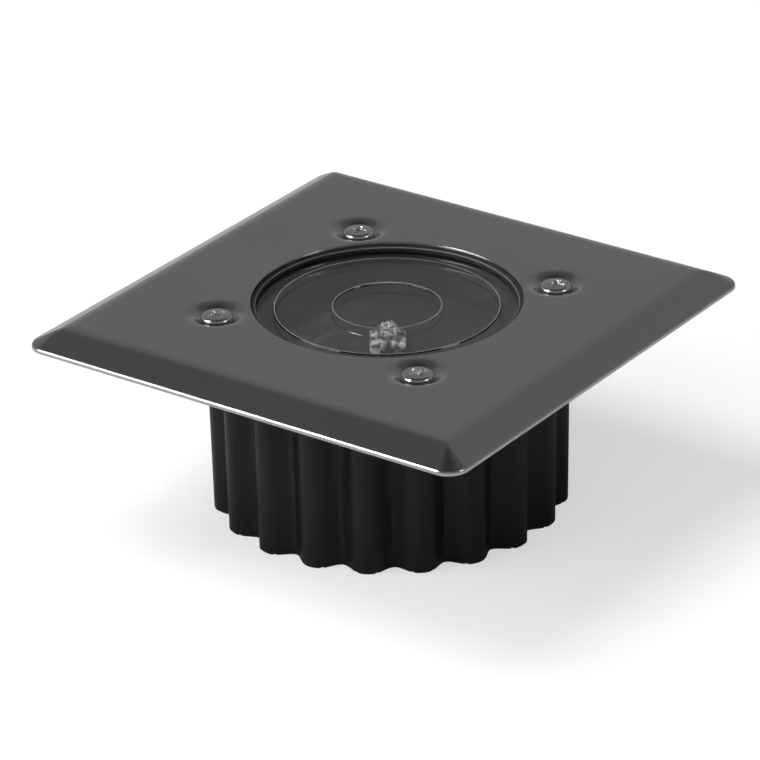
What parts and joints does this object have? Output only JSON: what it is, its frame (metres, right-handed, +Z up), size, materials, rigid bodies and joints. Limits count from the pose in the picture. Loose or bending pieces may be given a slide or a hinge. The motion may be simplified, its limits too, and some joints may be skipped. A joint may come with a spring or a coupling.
{
  "type": "in-ground well light",
  "caption": "Square recessed ground light: pressed steel cover screwed down over a round clear lens, on a fluted round housing with a cable gland in its hollow underside.",
  "frame": {"origin": "centre of the flat rim that the housing stands on, on the light's upright axis", "axes": "+Z up through the lens; X and Y along the sides of the square cover plate"},
  "size_m": [0.11, 0.11, 0.0463],
  "materials": {
    "cover_steel": "brushed",
    "screw_steel": "polished",
    "insert_brass": "knurled",
    "tinned_metal": "satin",
    "clear_lens": "polished",
    "lamp_epoxy": "polished",
    "black_rubber": "matte",
    "housing_plastic": "satin moulded",
    "tray_plastic": "satin moulded",
    "gland_nylon": "satin moulded",
    "board_laminate": "solder resist",
    "lamp_chip": "coated",
    "resistor_body": "lacquered",
    "capacitor_sleeve": "shrink sleeve",
    "rectifier_resin": "moulded resin",
    "terminal_plastic": "moulded"
  },
  "bodies": {
    "root": {"cover_plate": "cover_steel", "lens_gasket": "black_rubber", "lens": "clear_lens", "lens_seal": "black_rubber", "housing": "housing_plastic", "inner_tray": "tray_plastic", "cover_screw_1": "screw_steel", "cover_screw_2": "screw_steel", "cover_screw_3": "screw_steel", "cover_screw_4": "screw_steel", "thread_insert_1": "insert_brass", "thread_insert_2": "insert_brass", "thread_insert_3": "insert_brass", "thread_insert_4": "insert_brass", "lamp_body": "lamp_epoxy", "lamp_frame": "tinned_metal", "lamp_die": "lamp_chip", "circuit_board": "board_laminate", "board_screw_1": "screw_steel", "board_screw_2": "screw_steel", "resistor": "resistor_body", "rectifier": "rectifier_resin", "capacitor": "capacitor_sleeve", "terminal_block": "terminal_plastic", "terminal_screws": "tinned_metal", "terminal_clamps": "tinned_metal", "gland_body": "gland_nylon", "gland_washer": "black_rubber", "gland_locknut": "gland_nylon", "gland_seal": "black_rubber", "gland_nut": "gland_nylon"}
  },
  "joints": []
}
